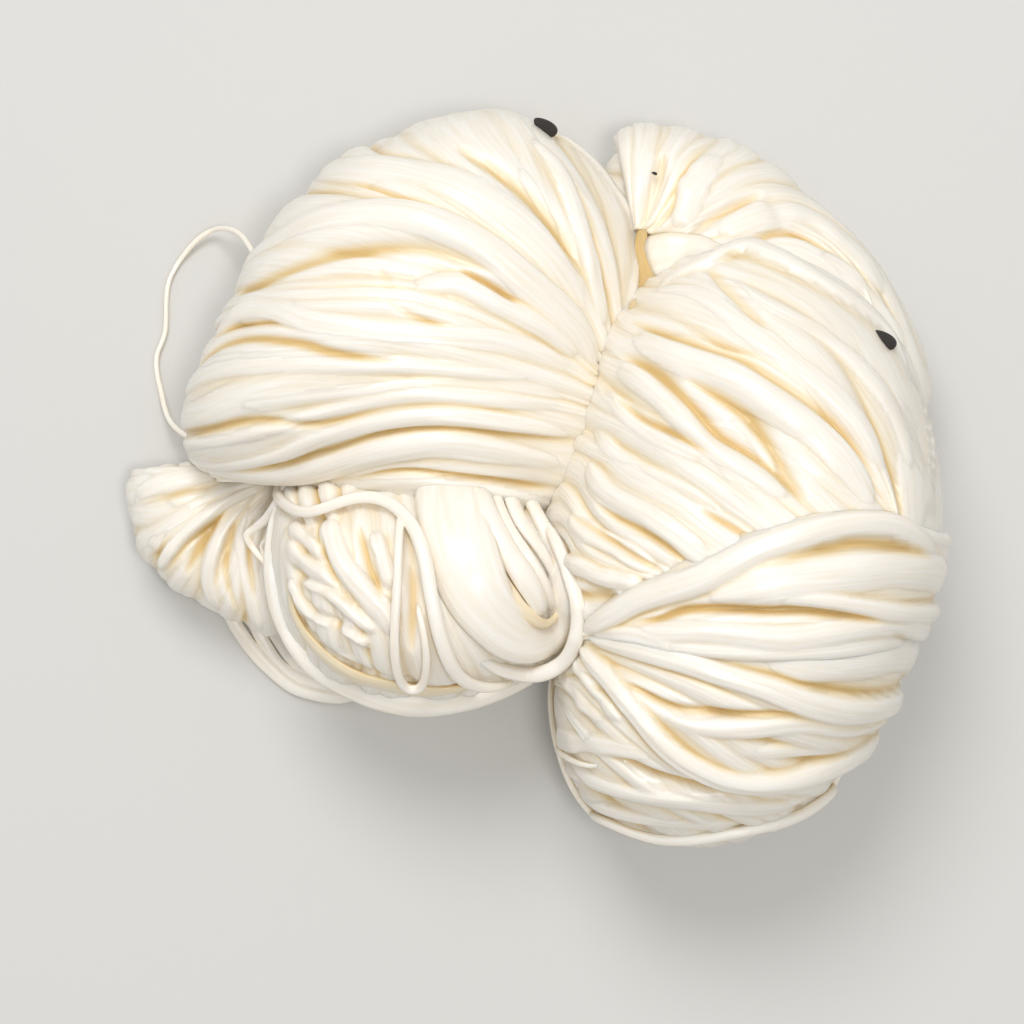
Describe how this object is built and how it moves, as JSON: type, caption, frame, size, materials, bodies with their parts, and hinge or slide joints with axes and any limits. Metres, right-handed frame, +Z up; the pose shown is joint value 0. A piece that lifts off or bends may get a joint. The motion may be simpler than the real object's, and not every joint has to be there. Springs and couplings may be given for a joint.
{
  "type": "braided string cheese",
  "caption": "Soft cream-white string cheese: a skein of pulled strings twisted, folded and tucked into itself, lying flat.",
  "frame": {"origin": "centre of the bounding box on the surface that the cheese lies on", "axes": "+Z up, +X along the longer side of the skein, from the loose tail to the largest lobe"},
  "size_m": [0.0924, 0.083, 0.0459],
  "materials": {
    "cheese": "wet satin, slightly translucent"
  },
  "bodies": {
    "root": {"cheese_skein": "cheese"}
  },
  "joints": []
}
